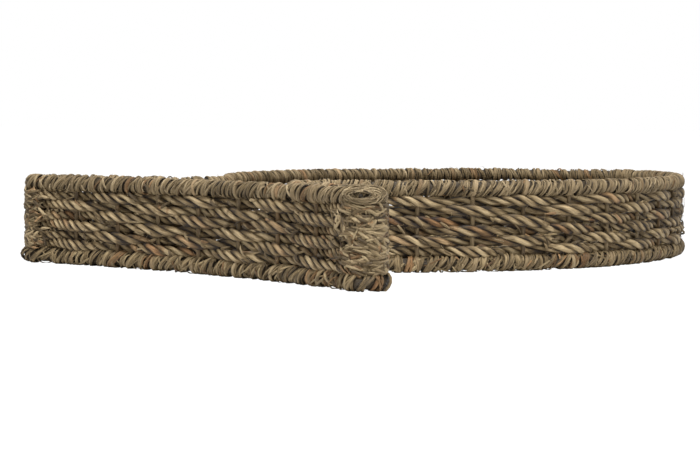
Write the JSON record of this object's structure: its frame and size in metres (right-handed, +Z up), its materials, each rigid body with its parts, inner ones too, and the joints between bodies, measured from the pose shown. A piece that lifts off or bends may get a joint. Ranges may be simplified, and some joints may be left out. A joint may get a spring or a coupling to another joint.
{
  "type": "seagrass storage basket",
  "caption": "Low open tray with a fish-shaped outline, woven from twisted seagrass rope round wire uprights, with wrapped top and foot rims",
  "frame": {"origin": "middle of the footprint, on the surface the tray stands on", "axes": "+X from the tail towards the nose, +Y across, +Z up"},
  "size_m": [0.6496, 0.4052, 0.076],
  "materials": {
    "frame_wire": "dull galvanised steel wire",
    "rim_filler": "loose bundle of dry seagrass",
    "top_rim_grass": "flat seagrass strands wrapped side by side, slightly glossy on the crowns",
    "foot_rim_grass": "flat seagrass strands wrapped side by side, lumpy, a little darker",
    "upright_grass": "smooth pale seagrass strip",
    "wall_grass": "dry twisted seagrass, matt, olive tan with darker gaps",
    "base_grass": "dry twisted seagrass, matt, olive tan with darker gaps"
  },
  "bodies": {
    "root": {"top_ring_wire": "frame_wire", "foot_ring_wire": "frame_wire", "upright_wires": "frame_wire", "upright_bindings": "upright_grass", "base_cross_wires": "frame_wire", "base_spine_wire": "frame_wire", "tail_lobe_wires": "frame_wire", "top_rim_filler": "rim_filler", "foot_rim_filler": "rim_filler", "top_rim_wrap": "top_rim_grass", "foot_rim_wrap": "foot_rim_grass", "wall_rope_1": "wall_grass", "wall_rope_2": "wall_grass", "wall_rope_3": "wall_grass", "wall_rope_4": "wall_grass", "wall_rope_5": "wall_grass", "wall_rope_6": "wall_grass", "base_band_1": "base_grass", "base_band_2": "base_grass", "base_band_3": "base_grass", "base_band_4": "base_grass", "base_band_5": "base_grass", "base_band_6": "base_grass", "base_band_7": "base_grass", "base_band_8": "base_grass", "base_band_9": "base_grass", "base_band_10": "base_grass", "base_band_11": "base_grass"}
  },
  "joints": []
}
